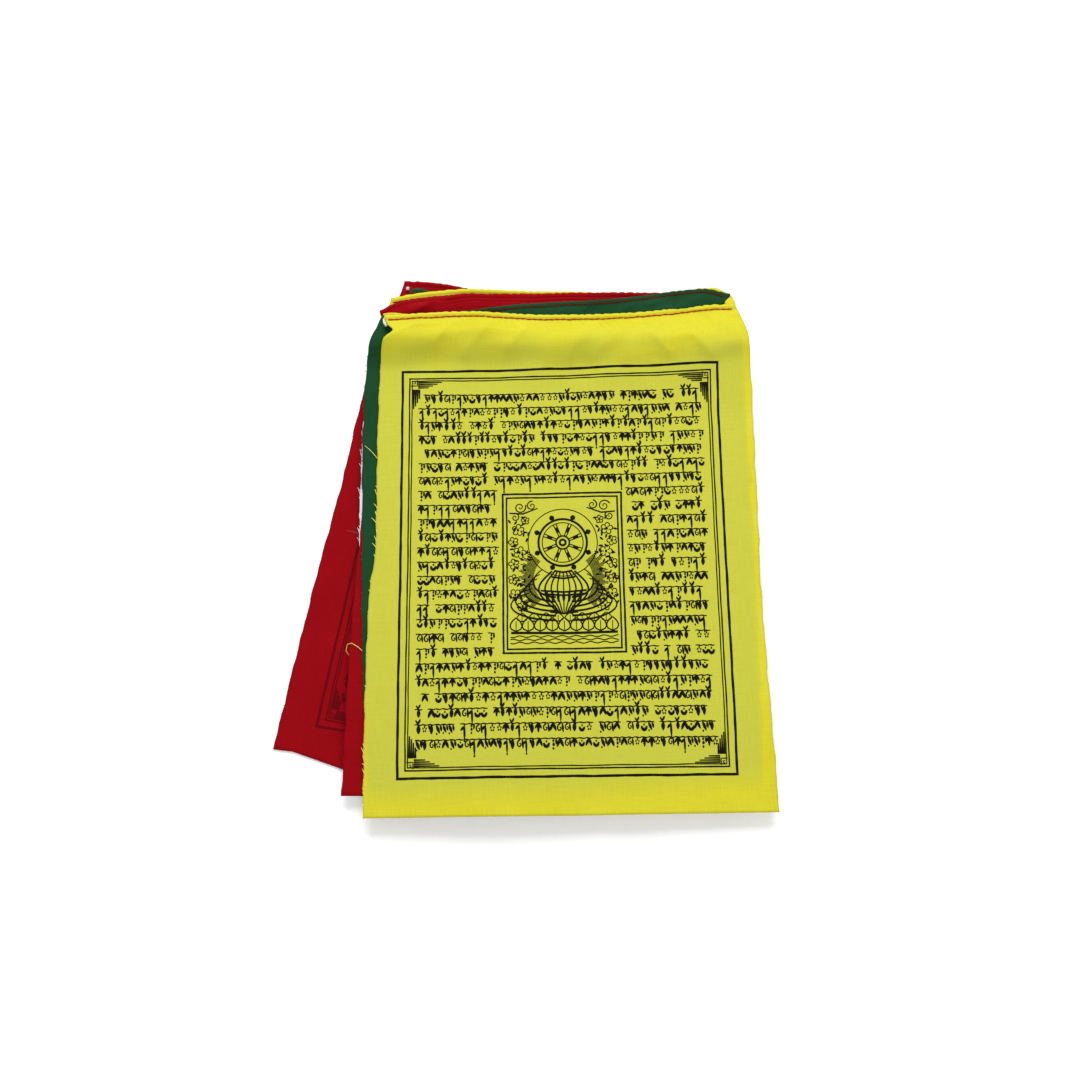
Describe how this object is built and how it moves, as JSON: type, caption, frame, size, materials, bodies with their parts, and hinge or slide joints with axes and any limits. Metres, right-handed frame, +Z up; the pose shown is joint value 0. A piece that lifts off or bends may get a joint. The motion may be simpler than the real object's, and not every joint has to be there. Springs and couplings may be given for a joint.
{
  "type": "string of prayer flags folded into a bundle",
  "caption": "Prayer flags on one cord, folded back and forth at their seams into a flat bundle that lies face up, its headings fanned out and its lowest flag slipped to one side.",
  "frame": {"origin": "on the flat underside, straight below the middle of the top flag's printed panel", "axes": "+X to the viewer's right along the headings, +Y from the cut feet of the flags up to their headings, +Z up, out of the printed face"},
  "size_m": [0.2451, 0.2829, 0.0224],
  "materials": {
    "yellow_cloth": "matt printed cotton, sunny yellow",
    "green_cloth": "matt printed cotton, deep green",
    "red_cloth": "matt printed cotton, crimson",
    "white_cloth": "matt printed cotton, white",
    "blue_cloth": "matt printed cotton, blue",
    "cord": "matt twisted cotton cord, white"
  },
  "bodies": {
    "root": {"flag_1_yellow": "yellow_cloth", "flag_2_green": "green_cloth", "flag_3_red": "red_cloth", "flag_4_white": "white_cloth", "flag_5_blue": "blue_cloth", "flag_6_yellow": "yellow_cloth", "flag_7_green": "green_cloth", "flag_8_red": "red_cloth", "cord": "cord"}
  },
  "joints": []
}
